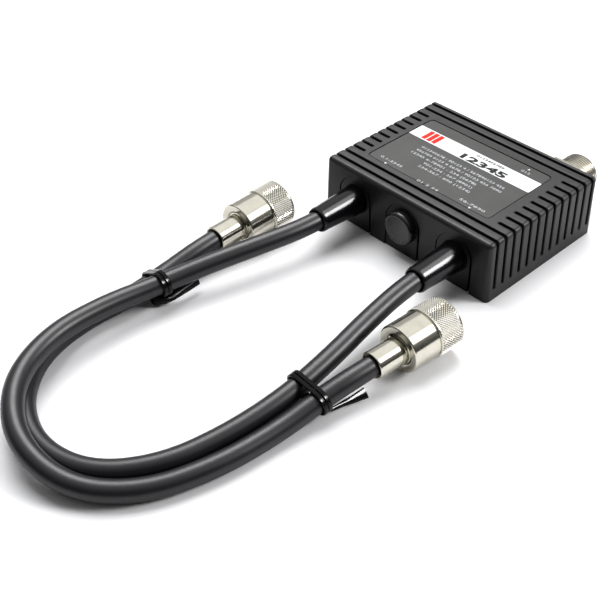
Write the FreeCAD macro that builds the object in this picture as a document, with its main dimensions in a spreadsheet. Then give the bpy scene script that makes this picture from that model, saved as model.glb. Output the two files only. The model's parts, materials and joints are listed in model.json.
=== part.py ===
import FreeCAD, Part

import math
import os

import Sketcher
from FreeCAD import Placement, Rotation, Vector

# Antenna duplexer: a ribbed box with two captive coax leads, each ending in a large
# threaded plug, and one threaded socket on the rear wall.
# Millimetres. +Z up, the front wall with the cable boots faces -Y, the socket faces +Y.
# The origin is on the floor, under the middle of the box.

doc = FreeCAD.newDocument("antenna_duplexer")

# Driving dimensions

SIZES = [
    # housing
    ("box_length", 80.0, "length of the box at its top, along X"),
    ("end_flare", 1.0, "how much further out each end stands at the floor"),
    ("box_depth", 62.0, "depth of the box, along Y"),
    ("box_height", 24.7, "height of the box"),
    ("edge_round", 1.8, "rounding of the outer edges"),
    ("side_wall", 2.2, "front and rear wall"),
    ("end_wall", 3.4, "ribbed end walls"),
    ("top_wall", 3.2, "ribbed top wall"),
    ("slot_count", 13, "slots in each end"),
    ("slot_pitch", 4.57, "slot to slot"),
    ("slot_width", 1.3, "width of a slot"),
    ("slot_depth", 1.2, "depth of a slot"),
    ("slot_bottom", 4.5, "height at which the slots start"),
    ("slot_shift", 0.4, "middle slot behind the middle of the box"),
    ("wrap_length", 7.4, "how far the short slots run onto the top"),
    ("long_slots", 2, "slots at each side that cross the whole top"),
    ("arch_half", 8.45, "half width of the arches in the front wall"),
    ("arch_top", 21.4, "height of the arches"),
    ("seam", 0.15, "gap between the housing and what fills it"),
    ("base_thickness", 2.0, "base plate"),
    ("tab_lip", 0.8, "arch tabs behind the front wall"),
    ("tab_set", 0.3, "face of the arch tabs behind the face of the front wall"),
    # label
    ("label_margin", 2.95, "from the short slots to the label recess"),
    ("label_side", 4.0, "from the inner long slots to the label recess"),
    ("label_x", -0.65, "middle of the label"),
    ("label_y", -0.35, "middle of the label"),
    ("label_recess", 0.5, "depth of the recess"),
    ("label_thickness", 0.4, "label plate"),
    ("label_corner", 2.0, "corner radius of the recess"),
    ("label_gap", 0.35, "groove round the label plate"),
    # ports
    ("port_pitch", 24.5, "port to port"),
    ("port_height", 12.35, "ports and socket above the floor"),
    ("port_hole", 4.6, "radius of the holes in the arch tabs"),
    ("neck_gap", 0.1, "between a neck and its hole"),
    ("cable_radius", 3.65, "outer radius of the coax cable"),
    ("bore_gap", 0.1, "between a cable and the bore that holds it"),
    ("mouth_gap", 0.4, "between a cable and the mouth it leaves"),
    ("boot_length", 20.2, "cable boot outside the wall"),
    ("boot_root", 5.9, "boot radius at the wall"),
    ("boot_tip", 4.7, "boot radius at its free end"),
    ("boot_flange", 5.7, "boot flange inside the wall"),
    ("flange_thickness", 2.4, "flange of a boot"),
    ("boot_recess", 3.0, "depth of the boot's mouth"),
    ("plug_cap", 6.75, "blanking plug, radius of its rim"),
    ("plug_face", 6.0, "blanking plug, radius of its flat face"),
    ("plug_height", 3.0, "blanking plug in front of the wall"),
    ("snap_lip", 0.45, "snap edge of the blanking plug over its hole"),
    # socket
    ("socket_x", 24.0, "socket from the middle of the box"),
    ("socket_reach", 15.6, "socket beyond the rear wall"),
    ("thread_radius", 7.94, "outside of the socket thread"),
    ("socket_neck", 7.7, "socket through the wall and its nut"),
    ("thread_gap", 0.06, "between the socket's neck and its nut"),
    ("socket_chamfer", 0.8, "chamfer at the socket's mouth"),
    ("socket_mouth", 6.25, "bore of the socket's mouth"),
    ("mouth_depth", 6.0, "depth of the socket's mouth"),
    ("core_radius", 5.2, "bore round the socket's insulator"),
    ("socket_flange", 9.0, "socket flange inside the rear wall"),
    ("socket_flange_thickness", 2.0, "socket flange"),
    ("socket_tail", 3.4, "socket behind its flange"),
    ("tail_radius", 6.2, "socket behind its flange"),
    ("contact_radius", 2.9, "outside of the centre contact"),
    ("contact_bore", 2.02, "bore of the centre contact"),
    ("contact_depth", 10.0, "depth of the contact's bore"),
    ("contact_set", 3.2, "contact behind the socket's mouth"),
    ("contact_tail", 2.5, "contact behind the insulator"),
    ("nut_flats", 19.0, "socket nut across flats"),
    ("nut_thickness", 3.0, "socket nut"),
    ("washer_radius", 9.6, "socket washer"),
    ("washer_thickness", 0.8, "socket washer"),
    ("notch_width", 2.2, "keyway in the socket's rim"),
    ("notch_depth", 1.5, "keyway in the socket's rim"),
    # plugs
    ("pin_radius", 1.98, "centre pin, free part"),
    ("pin_root", 1.6, "centre pin inside its insulator"),
    ("pin_tip", 32.4, "end of the pin, from the rear of the ferrule"),
    ("ferrule_radius", 4.9, "cable ferrule"),
    ("ferrule_length", 11.6, "ferrule behind the coupling nut"),
    ("ferrule_recess", 2.5, "depth of the ferrule's mouth"),
    ("skirt_radius", 8.65, "smooth skirt of the coupling nut"),
    ("skirt_length", 11.3, "smooth skirt of the coupling nut"),
    ("knurl_radius", 9.25, "knurled ring of the coupling nut"),
    ("knurl_length", 10.3, "knurled ring of the coupling nut"),
    ("knurl_chamfer", 0.55, "chamfers of the knurled ring"),
    ("nut_bore", 8.0, "inside of the coupling nut"),
    ("nut_back", 1.6, "rear wall of the coupling nut"),
    ("nut_hole", 5.5, "hole in the rear wall of the coupling nut"),
    ("turn_gap", 0.1, "between the coupling nut and the plug body"),
    ("shoulder_radius", 7.4, "shoulder that holds the nut"),
    ("shoulder_thickness", 2.5, "shoulder that holds the nut"),
    ("collar_radius", 5.9, "front collar of the plug body"),
    ("collar_length", 8.8, "front collar of the plug body"),
    ("collar_bore", 4.65, "bore of the collar"),
    ("fit_gap", 0.05, "between an insulator and what it sits in"),
    ("left_plug_x", -45.3, "rear end of the left ferrule"),
    ("left_plug_y", -83.5, "rear end of the left ferrule"),
    ("left_plug_turn", 2.9, "left plug turned towards the left, degrees"),
    ("right_plug_x", 41.3, "rear end of the right ferrule"),
    ("right_plug_y", -89.5, "rear end of the right ferrule"),
    ("right_plug_turn", -2.9, "right plug turned towards the right, degrees"),
    # inside
    ("board_length", 57.0, "circuit board, along X"),
    ("board_width", 45.0, "circuit board, along Y"),
    ("board_thickness", 1.6, "circuit board"),
    ("board_height", 5.0, "underside of the board above the floor"),
    ("post_x", 16.0, "board posts from the middle"),
    ("post_y", 18.5, "board posts from the middle"),
    ("post_radius", 2.6, "board posts"),
    ("screw_radius", 1.05, "shanks of all screws"),
    ("screw_gap", 0.1, "between a screw and its hole"),
    ("screw_head", 2.2, "head radius of the board screws"),
    ("screw_head_height", 1.5, "head of a board screw"),
    ("boss_from_end", 3.3, "middle of a boss from the end wall"),
    ("boss_from_side", 4.8, "middle of a boss from the front or rear wall"),
    ("boss_radius", 2.6, "housing bosses"),
    ("boss_hole", 9.0, "depth of the holes in the bosses"),
    ("base_head", 2.4, "head radius of the base screws"),
    ("base_head_height", 0.9, "head of a base screw"),
    ("head_sink", 0.15, "base screw heads above the floor"),
    ("shield_thickness", 0.6, "shield wall between the two filters"),
    ("shield_gap", 1.9, "shield wall below the top of the housing"),
    ("shield_length", 42.0, "shield wall"),
    ("coil_radius", 3.2, "low band coil, outside"),
    ("coil_bore", 2.2, "low band coil, inside"),
    ("small_coil_radius", 2.3, "high band coil, outside"),
    ("small_coil_bore", 1.5, "high band coil, inside"),
    ("coil_pitch", 9.0, "coil to coil"),
    ("coil_turns", 5, "turns of a coil"),
    ("wire_pitch", 1.8, "turn to turn"),
    ("coil_lift", 0.8, "coils above the board"),
    ("leg_radius", 0.4, "legs of coils and capacitors"),
    ("disc_radius", 2.6, "disc capacitors"),
    ("disc_thickness", 1.6, "disc capacitors"),
    ("disc_count", 4, "disc capacitors"),
    ("disc_pitch", 8.2, "capacitor to capacitor"),
    ("disc_y", 11.0, "row of capacitors"),
    ("crimp_radius", 4.5, "crimp ring on a cable end"),
    ("crimp_length", 2.4, "crimp ring on a cable end"),
    ("core_length", 2.0, "bared insulation of a cable end"),
    ("core_outer", 2.3, "bared insulation of a cable end"),
    ("conductor_radius", 0.7, "bared conductor of a cable end"),
    ("conductor_length", 1.5, "bared conductor of a cable end"),
    ("lead_radius", 0.5, "lead wires"),
    ("lead_reach", 4.5, "lead wires along the board"),
    # ties
    ("tie_thickness", 0.9, "twist tie round both cables"),
    ("tie_width", 4.4, "two wraps side by side"),
    ("tie_gap", 0.4, "between a tie and the cables"),
    ("left_tie_y", -113.0, "left tie"),
    ("right_tie_y", -110.0, "right tie"),
]

sheet = doc.addObject("Spreadsheet::Sheet", "sizes")
for row, (alias, value, note) in enumerate(SIZES, start=1):
    sheet.set("A%d" % row, note)
    sheet.set("B%d" % row, str(value))
    sheet.setAlias("B%d" % row, alias)
doc.recompute()


def size(alias):
    return float(sheet.get(alias))


def number(text):
    """The value of a formula of named sizes."""
    return float(eval_formula(text))


def eval_formula(text):
    return sheet.evalExpression(text)


def linked(text):
    """The same formula, as an object outside the sheet reads it."""
    words = []
    word = ""
    for sign in text + " ":
        if sign.isalnum() or sign == "_":
            word += sign
            continue
        words.append("sizes." + word if word in ALIASES else word)
        words.append(sign)
        word = ""
    return "".join(words).strip()


ALIASES = {alias for alias, value, note in SIZES}

# Document helpers

nodes = []


def new_body(label, several=False):
    """A body for one node; several means a group of separate solids."""
    body = doc.addObject("PartDesign::Body", label)
    body.Label = label
    body.AllowCompound = several
    nodes.append(body)
    return body


def origin_part(body, role):
    return [part for part in body.Origin.OriginFeatures if part.Role == role][0]


def new_sketch(body, name, role, lift="0"):
    """A sketch on one of the body's own origin planes, lifted along its normal."""
    sketch = body.newObject("Sketcher::SketchObject", name)
    sketch.AttachmentSupport = [(origin_part(body, role), "")]
    sketch.MapMode = "FlatFace"
    sketch.setExpression(".AttachmentOffset.Base.z", linked(lift))
    return sketch


def dimension(sketch, kind, first, text):
    """Add one dimension to the sketch and bind it to its formula."""
    index = sketch.addConstraint(Sketcher.Constraint(kind, *first, number(text)))
    sketch.setExpression("Constraints[%d]" % index, linked(text))


def fix_point(sketch, geometry, vertex, x, y):
    dimension(sketch, "DistanceX", (-1, 1, geometry, vertex), x)
    dimension(sketch, "DistanceY", (-1, 1, geometry, vertex), y)


def polygon(sketch, points):
    """A closed outline through points, each a pair of formulas."""
    places = [Vector(number(x), number(y), 0) for x, y in points]
    start = sketch.GeometryCount
    count = len(points)
    for i in range(count):
        sketch.addGeometry(Part.LineSegment(places[i], places[(i + 1) % count]), False)
    for i in range(count):
        following = start + (i + 1) % count
        sketch.addConstraint(Sketcher.Constraint("Coincident", start + i, 2, following, 1))
    for i, (x, y) in enumerate(points):
        fix_point(sketch, start + i, 1, x, y)


def rectangle(sketch, x, y, half_x, half_y):
    """A rectangle about a middle, from its half sizes."""
    left, right = "%s - (%s)" % (x, half_x), "%s + (%s)" % (x, half_x)
    low, high = "%s - (%s)" % (y, half_y), "%s + (%s)" % (y, half_y)
    polygon(sketch, [(left, low), (right, low), (right, high), (left, high)])


def circle(sketch, x, y, radius):
    centre = Vector(number(x), number(y), 0)
    index = sketch.addGeometry(Part.Circle(centre, Vector(0, 0, 1), number(radius)), False)
    fix_point(sketch, index, 3, x, y)
    dimension(sketch, "Radius", (index,), radius)


def arch(sketch, x, crown, foot, half):
    """A U outline: two straight sides from foot to a half round whose middle is at crown."""
    cx, cy, fy, r = number(x), number(crown), number(foot), number(half)
    up = cy > fy
    turn = (0, math.pi) if up else (math.pi, 2 * math.pi)
    round_end = Part.ArcOfCircle(Part.Circle(Vector(cx, cy, 0), Vector(0, 0, 1), r), *turn)
    first, last = (cx + r, cx - r) if up else (cx - r, cx + r)
    arc = sketch.addGeometry(round_end, False)
    side_a = sketch.addGeometry(Part.LineSegment(Vector(last, cy, 0), Vector(last, fy, 0)), False)
    base = sketch.addGeometry(Part.LineSegment(Vector(last, fy, 0), Vector(first, fy, 0)), False)
    side_b = sketch.addGeometry(Part.LineSegment(Vector(first, fy, 0), Vector(first, cy, 0)), False)
    sketch.addConstraint(Sketcher.Constraint("Tangent", arc, 2, side_a, 1))
    sketch.addConstraint(Sketcher.Constraint("Tangent", side_b, 2, arc, 1))
    sketch.addConstraint(Sketcher.Constraint("Coincident", side_a, 2, base, 1))
    sketch.addConstraint(Sketcher.Constraint("Coincident", base, 2, side_b, 1))
    sketch.addConstraint(Sketcher.Constraint("Vertical", side_a))
    sketch.addConstraint(Sketcher.Constraint("Horizontal", base))
    fix_point(sketch, arc, 3, x, crown)
    dimension(sketch, "Radius", (arc,), half)
    dimension(sketch, "DistanceY", (-1, 1, base, 1), foot)


def pad(body, sketch, length, reverse=False, both=False):
    feature = body.newObject("PartDesign::Pad", "Pad")
    feature.Profile = sketch
    feature.setExpression("Length", linked(length))
    feature.Reversed = reverse
    feature.SideType = "Symmetric" if both else "One side"
    return feature


def pocket(body, sketch, length, reverse=False):
    feature = body.newObject("PartDesign::Pocket", "Pocket")
    feature.Profile = sketch
    feature.setExpression("Length", linked(length))
    feature.Reversed = reverse
    return feature


def row(body, feature, axis, span, count):
    """Repeat one feature in a straight row."""
    pattern = body.newObject("PartDesign::LinearPattern", "Row")
    pattern.Originals = [feature]
    pattern.Direction = (origin_part(body, axis), [""])
    pattern.setExpression("Length", linked(span))
    pattern.setExpression("Occurrences", linked(count))
    body.Tip = pattern
    return pattern


def turned(body, points, name="Profile"):
    """A full revolution about the body's own Y axis of an outline of (radius, place)."""
    sketch = new_sketch(body, name, "XY_Plane")
    polygon(sketch, points)
    feature = body.newObject("PartDesign::Revolution", "Revolution")
    feature.Profile = sketch
    feature.ReferenceAxis = (origin_part(body, "Y_Axis"), [""])
    feature.Angle = 360
    return feature


def rounded(body, base, radius, wanted):
    """A fillet on the edges of base that pass the test wanted."""
    doc.recompute()
    edges = base.Shape.Edges
    names = ["Edge%d" % (i + 1) for i, edge in enumerate(edges) if wanted(edge)]
    feature = body.newObject("PartDesign::Fillet", "Fillet")
    feature.Base = (base, names)
    feature.setExpression("Radius", linked(radius))
    return feature


def place(body, x, y, z, turn=None):
    """Put a body at formulas of named sizes, turned about the vertical by degrees."""
    if turn is not None:
        body.Placement = Placement(Vector(), Rotation(Vector(0, 0, 1), number(turn)))
    body.setExpression(".Placement.Base.x", linked(x))
    body.setExpression(".Placement.Base.y", linked(y))
    body.setExpression(".Placement.Base.z", linked(z))


def add_shape(label, shape):
    """A node whose shape follows a route and is worked out here."""
    feature = doc.addObject("Part::Feature", label)
    feature.Label = label
    feature.Shape = shape
    nodes.append(feature)
    return feature


def upright(edge):
    box = edge.BoundBox
    return box.ZLength > 0.2 and box.YLength < 0.01 and box.XLength < 0.5 * box.ZLength


# Housing: the ribbed cover

HALF_LENGTH = "box_length / 2"
LABEL_LENGTH = "(box_length - 2 * wrap_length - 2 * label_margin)"
LABEL_WIDTH = "((slot_count + 1 - 2 * long_slots) * slot_pitch - 2 * label_side)"
HALF_DEPTH = "box_depth / 2"
CAVITY_X = "box_length / 2 - end_wall"
CAVITY_Y = "box_depth / 2 - side_wall"
CAVITY_TOP = "box_height - top_wall"
ARCH_CROWN = "arch_top - arch_half"
BOSS_X = "(box_length / 2 - end_wall - boss_from_end)"
BOSS_Y = "(box_depth / 2 - side_wall - boss_from_side)"
PORTS = ("-port_pitch", "0", "port_pitch")
CORNERS = [(x, y) for x in ("-", "") for y in ("-", "")]


def make_top_cover():
    body = new_body("top_cover")
    outline = new_sketch(body, "EndProfile", "XZ_Plane")
    foot = "box_length / 2 + end_flare"
    polygon(outline, [("-(%s)" % foot, "0"), (foot, "0"), (HALF_LENGTH, "box_height"),
                      ("-(%s)" % HALF_LENGTH, "box_height")])
    block = pad(body, outline, "box_depth", both=True)
    rounded(body, block, "edge_round", lambda edge: edge.BoundBox.ZMax > size("box_height") - 0.01)

    cavity = new_sketch(body, "Cavity", "XY_Plane")
    rectangle(cavity, "0", "0", CAVITY_X, CAVITY_Y)
    pocket(body, cavity, CAVITY_TOP, reverse=True)

    bosses = new_sketch(body, "Bosses", "XY_Plane", "base_thickness")
    for x, y in CORNERS:
        circle(bosses, x + BOSS_X, y + BOSS_Y, "boss_radius")
    pad(body, bosses, "box_height - top_wall - base_thickness + slot_depth")
    holes = new_sketch(body, "BossHoles", "XY_Plane", "base_thickness")
    for x, y in CORNERS:
        circle(holes, x + BOSS_X, y + BOSS_Y, "screw_radius + screw_gap")
    pocket(body, holes, "boss_hole", reverse=True)

    arches = new_sketch(body, "Arches", "XZ_Plane", HALF_DEPTH)
    for x in PORTS:
        arch(arches, x, ARCH_CROWN, "-1", "arch_half")
    pocket(body, arches, "side_wall + 1")
    outlet = new_sketch(body, "SocketHole", "XZ_Plane", "-box_depth / 2")
    circle(outlet, "socket_x", "port_height", "thread_radius + seam")
    pocket(body, outlet, "side_wall + 1", reverse=True)

    make_slots(body)

    recess = new_sketch(body, "LabelRecess", "XY_Plane", "box_height")
    rectangle(recess, "label_x", "label_y", LABEL_LENGTH + " / 2", LABEL_WIDTH + " / 2")
    cut = pocket(body, recess, "label_recess")
    low = size("box_height") - size("label_recess")

    def recess_corner(edge):
        box = edge.BoundBox
        inside = abs(box.Center.x) < number(LABEL_LENGTH) / 2 + 2
        return upright(edge) and abs(box.ZMin - low) < 0.01 and inside

    body.Tip = rounded(body, cut, "label_corner", recess_corner)


def make_slots(body):
    """The slots of both ends; the outer ones run on across the top."""
    first = "slot_shift - (slot_count - 1) / 2 * slot_pitch"
    span = "(slot_count - 1) * slot_pitch"
    lean = math.degrees(math.atan2(size("end_flare"), size("box_height")))
    for side, name in ((1, "Right"), (-1, "Left")):
        reach = "%s(box_length / 2 + end_flare)" % ("" if side > 0 else "-")
        slot = new_sketch(body, name + "Slot", "YZ_Plane", reach)
        slot.AttachmentOffset = Placement(Vector(), Rotation(Vector(1, 0, 0), -side * lean))
        arch(slot, first, "slot_bottom + slot_width / 2", "box_height + 2", "slot_width / 2")
        cut = pocket(body, slot, "slot_depth", reverse=side < 0)
        row(body, cut, "Y_Axis", span, "slot_count")

        wrap = new_sketch(body, name + "Wrap", "XY_Plane", "box_height")
        middle = "slot_shift - ((slot_count - 1) / 2 - long_slots) * slot_pitch"
        inner = "box_length / 2 - wrap_length + slot_width / 2"
        wrap_slot(wrap, side, inner, middle)
        cut = pocket(body, wrap, "slot_depth")
        row(body, cut, "Y_Axis", "(slot_count - 1 - 2 * long_slots) * slot_pitch",
            "slot_count - 2 * long_slots")

    for name, start in (("Front", first), ("Rear", first + " + (slot_count - long_slots) * slot_pitch")):
        groove = new_sketch(body, name + "Groove", "XY_Plane", "box_height")
        rectangle(groove, "0", start, "box_length / 2 + 3", "slot_width / 2")
        cut = pocket(body, groove, "slot_depth")
        row(body, cut, "Y_Axis", "(long_slots - 1) * slot_pitch", "long_slots")


def wrap_slot(sketch, side, inner, middle):
    """A slot on the top with a half round inner end, open at the box's end."""
    sign = "" if side > 0 else "-"
    x, y, r = side * number(inner), number(middle), number("slot_width / 2")
    outer = side * number("box_length / 2 + 3")
    start = -math.pi / 2 if side < 0 else math.pi / 2
    ring = Part.Circle(Vector(x, y, 0), Vector(0, 0, 1), r)
    arc = sketch.addGeometry(Part.ArcOfCircle(ring, start, start + math.pi), False)
    low = y - r if side > 0 else y + r
    high = y + r if side > 0 else y - r
    edge_a = sketch.addGeometry(Part.LineSegment(Vector(x, low, 0), Vector(outer, low, 0)), False)
    close = sketch.addGeometry(Part.LineSegment(Vector(outer, low, 0), Vector(outer, high, 0)), False)
    edge_b = sketch.addGeometry(Part.LineSegment(Vector(outer, high, 0), Vector(x, high, 0)), False)
    sketch.addConstraint(Sketcher.Constraint("Tangent", arc, 2, edge_a, 1))
    sketch.addConstraint(Sketcher.Constraint("Tangent", edge_b, 2, arc, 1))
    sketch.addConstraint(Sketcher.Constraint("Coincident", edge_a, 2, close, 1))
    sketch.addConstraint(Sketcher.Constraint("Coincident", close, 2, edge_b, 1))
    sketch.addConstraint(Sketcher.Constraint("Horizontal", edge_a))
    sketch.addConstraint(Sketcher.Constraint("Vertical", close))
    fix_point(sketch, arc, 3, "%s(%s)" % (sign, inner), middle)
    dimension(sketch, "Radius", (arc,), "slot_width / 2")
    dimension(sketch, "DistanceX", (-1, 1, close, 1), "%s(box_length / 2 + 3)" % sign)


# Housing: base plate with the tabs that fill the arches, and what is fixed to it


def make_base_plate():
    body = new_body("base_plate")
    plate = new_sketch(body, "Plate", "XY_Plane")
    rectangle(plate, "0", "0", CAVITY_X + " - seam", CAVITY_Y + " - seam")
    pad(body, plate, "base_thickness")
    tabs = new_sketch(body, "Tabs", "XZ_Plane", HALF_DEPTH + " - tab_set")
    for x in PORTS:
        arch(tabs, x, ARCH_CROWN, "0", "arch_half - seam")
    pad(body, tabs, "side_wall + tab_lip - tab_set", reverse=True)
    posts = new_sketch(body, "Posts", "XY_Plane", "base_thickness")
    for x, y in CORNERS:
        circle(posts, x + "post_x", y + "post_y", "post_radius")
    pad(body, posts, "board_height - base_thickness")
    post_holes = new_sketch(body, "PostHoles", "XY_Plane", "board_height")
    for x, y in CORNERS:
        circle(post_holes, x + "post_x", y + "post_y", "screw_radius + screw_gap")
    pocket(body, post_holes, "board_height - base_thickness")
    ports = new_sketch(body, "PortHoles", "XZ_Plane", HALF_DEPTH)
    for x in PORTS:
        circle(ports, x, "port_height", "port_hole")
    pocket(body, ports, "side_wall + tab_lip + 1")
    holes = new_sketch(body, "ScrewHoles", "XY_Plane")
    for x, y in CORNERS:
        circle(holes, x + BOSS_X, y + BOSS_Y, "screw_radius + screw_gap")
    pocket(body, holes, "base_thickness + 1", reverse=True)
    sinks = new_sketch(body, "HeadSinks", "XY_Plane")
    for x, y in CORNERS:
        circle(sinks, x + BOSS_X, y + BOSS_Y, "base_head + screw_gap")
    body.Tip = pocket(body, sinks, "head_sink + base_head_height", reverse=True)


def make_label_plate():
    body = new_body("label_plate")
    outline = new_sketch(body, "Outline", "XY_Plane", "box_height - label_recess")
    rectangle(outline, "label_x", "label_y", LABEL_LENGTH + " / 2 - label_gap",
              LABEL_WIDTH + " / 2 - label_gap")
    plate = pad(body, outline, "label_thickness")
    body.Tip = rounded(body, plate, "label_corner - label_gap", upright)


def make_screws(label, x, y, low, head, head_height, shank_length, head_up):
    """Four screws at the corners of a rectangle; low is the underside of the heads or shanks."""
    body = new_body(label, several=True)
    shanks = new_sketch(body, "Shanks", "XY_Plane", low)
    heads = new_sketch(body, "Heads", "XY_Plane",
                       "%s + %s" % (low, shank_length) if head_up else low)
    for sign_x, sign_y in CORNERS:
        circle(shanks, sign_x + x, sign_y + y, "screw_radius")
        circle(heads, sign_x + x, sign_y + y, head)
    pad(body, shanks, shank_length if head_up else "%s + %s" % (head_height, shank_length))
    body.Tip = pad(body, heads, head_height)


# Front wall: blanking plug, boots, cable ends

TAB_BACK = "side_wall + tab_lip"
FRONT_Y = "-box_depth / 2"


def make_hole_plug():
    body = new_body("hole_plug")
    stem = "port_hole - neck_gap"
    lip = "port_hole + snap_lip"
    seat = "-(%s) - neck_gap" % TAB_BACK
    turned(body, [("0", seat + " - 1.6"), (stem, seat + " - 1.6"), (lip, seat + " - 0.6"), (lip, seat),
                  (stem, seat), (stem, "-tab_set"), ("plug_cap", "-tab_set"),
                  ("plug_cap", "plug_height - (plug_cap - plug_face)"),
                  ("plug_face", "plug_height"), ("0", "plug_height")])
    place(body, "0", FRONT_Y, "port_height", "180")


def make_cable_boot(label, x):
    body = new_body(label)
    neck = "port_hole - neck_gap"
    bore = "cable_radius + bore_gap"
    mouth = "cable_radius + mouth_gap"
    seat = "-(%s) - neck_gap" % TAB_BACK
    back = "%s - flange_thickness" % seat
    turned(body, [(bore, back), ("boot_flange", back), ("boot_flange", seat), (neck, seat),
                  (neck, "-tab_set"), ("boot_root", "-tab_set"), ("boot_tip", "boot_length - 0.5"),
                  ("boot_tip - 0.3", "boot_length"), (mouth, "boot_length"),
                  (mouth, "boot_length - boot_recess"), (bore, "boot_length - boot_recess")])
    place(body, x, FRONT_Y, "port_height", "180")


CRIMP_FRONT = "-(%s) - 2 * neck_gap - flange_thickness" % TAB_BACK
CRIMP_BACK = CRIMP_FRONT + " - crimp_length"


def make_cable_end(label, x):
    """The cable inside its boot, bared in steps behind the crimp ring."""
    body = new_body(label)
    core_end = CRIMP_BACK + " - core_length"
    tip = core_end + " - conductor_length"
    turned(body, [("0", tip), ("conductor_radius", tip), ("conductor_radius", core_end),
                  ("core_outer", core_end), ("core_outer", CRIMP_BACK), ("cable_radius", CRIMP_BACK),
                  ("cable_radius", "boot_length - boot_recess"), ("0", "boot_length - boot_recess")])
    place(body, x, FRONT_Y, "port_height", "180")


def make_crimp_ring(label, x):
    body = new_body(label)
    bore = "cable_radius + fit_gap"
    turned(body, [(bore, CRIMP_BACK), ("crimp_radius", CRIMP_BACK), ("crimp_radius", CRIMP_FRONT),
                  (bore, CRIMP_FRONT)])
    place(body, x, FRONT_Y, "port_height", "180")


# Rear wall: the socket

SHELL_BACK = "-side_wall - socket_flange_thickness - socket_tail"
THREAD_START = "washer_thickness + nut_thickness + 2 * seam"
CORE_FRONT = "socket_reach - mouth_depth"
CONTACT_FRONT = "socket_reach - contact_set"


def place_at_socket(body):
    place(body, "socket_x", HALF_DEPTH, "port_height")


def make_socket_shell():
    body = new_body("socket_shell")
    flange_back = "-side_wall - socket_flange_thickness"
    turned(body, [("core_radius", SHELL_BACK), ("tail_radius", SHELL_BACK), ("tail_radius", flange_back),
                  ("socket_flange", flange_back), ("socket_flange", "-side_wall"),
                  ("socket_neck", "-side_wall"), ("socket_neck", THREAD_START),
                  ("thread_radius", THREAD_START), ("thread_radius", "socket_reach - socket_chamfer"),
                  ("thread_radius - socket_chamfer", "socket_reach"), ("socket_mouth", "socket_reach"),
                  ("socket_mouth", CORE_FRONT), ("core_radius", CORE_FRONT)])
    keys = new_sketch(body, "Keyway", "XZ_Plane", "-socket_reach")
    rectangle(keys, "0", "(socket_mouth + thread_radius) / 2", "notch_width / 2",
              "(thread_radius - socket_mouth) / 2 + 0.5")
    cut = pocket(body, keys, "notch_depth", reverse=True)
    pattern = body.newObject("PartDesign::PolarPattern", "Keyways")
    pattern.Originals = [cut]
    pattern.Axis = (origin_part(body, "Y_Axis"), [""])
    pattern.Angle = 360
    pattern.Occurrences = 4
    body.Tip = pattern
    place_at_socket(body)


def make_socket_nut():
    body = new_body("socket_nut")
    outline = new_sketch(body, "Hexagon", "XZ_Plane", "-washer_thickness - seam")
    corner = "nut_flats / sqrt(3)"
    half = "nut_flats / 2"
    side = "nut_flats / sqrt(3) / 2"
    polygon(outline, [(corner, "0"), (side, half), ("-" + side, half), ("-" + corner, "0"),
                      ("-" + side, "-" + half), (side, "-" + half)])
    circle(outline, "0", "0", "socket_neck + thread_gap")
    body.Tip = pad(body, outline, "nut_thickness", reverse=True)
    place_at_socket(body)


def make_socket_washer():
    body = new_body("socket_washer")
    bore = "socket_neck + thread_gap"
    turned(body, [(bore, "0"), ("washer_radius", "0"), ("washer_radius", "washer_thickness"),
                  (bore, "washer_thickness")])
    place_at_socket(body)


def make_socket_insulator():
    body = new_body("socket_insulator")
    outer = "core_radius - fit_gap"
    bore = "contact_radius + fit_gap"
    turned(body, [(bore, SHELL_BACK), (outer, SHELL_BACK), (outer, CORE_FRONT), (bore, CORE_FRONT)])
    place_at_socket(body)


def make_socket_contact():
    body = new_body("socket_contact")
    back = SHELL_BACK + " - contact_tail"
    depth = CONTACT_FRONT + " - contact_depth"
    turned(body, [("0", back), ("conductor_radius", back), ("conductor_radius", SHELL_BACK),
                  ("contact_radius", SHELL_BACK), ("contact_radius", CONTACT_FRONT),
                  ("contact_bore", CONTACT_FRONT), ("contact_bore", depth), ("0", depth)])
    place_at_socket(body)


# Plugs: places are measured from the rear end of the ferrule towards the mouth

NUT_REAR = "ferrule_length"
NUT_STEP = "ferrule_length + skirt_length"
NUT_FRONT = "ferrule_length + skirt_length + knurl_length"
SHOULDER = "ferrule_length + nut_back + turn_gap"
COLLAR_BACK = "%s + shoulder_thickness" % SHOULDER
COLLAR_FRONT = "%s + collar_length" % COLLAR_BACK
CORE_FACE = COLLAR_FRONT + " - 0.6"


def make_coupling_nut(label, at):
    body = new_body(label)
    inner = "ferrule_length + nut_back"
    turned(body, [("nut_hole + 0.6", NUT_REAR), ("nut_hole", NUT_REAR + " + 0.5"), ("nut_hole", inner),
                  ("nut_bore", inner), ("nut_bore", NUT_FRONT + " - 0.5"),
                  ("nut_bore + 0.4", NUT_FRONT), ("knurl_radius - knurl_chamfer", NUT_FRONT),
                  ("knurl_radius", NUT_FRONT + " - knurl_chamfer"),
                  ("knurl_radius", NUT_STEP + " + knurl_chamfer"),
                  ("knurl_radius - knurl_chamfer", NUT_STEP),
                  ("skirt_radius - 0.25", NUT_STEP), ("skirt_radius - 0.25", NUT_STEP + " - 0.3"),
                  ("skirt_radius", NUT_STEP + " - 0.3"), ("skirt_radius", NUT_REAR + " + 0.4"),
                  ("skirt_radius - 0.4", NUT_REAR)])
    place(body, *at)


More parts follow.
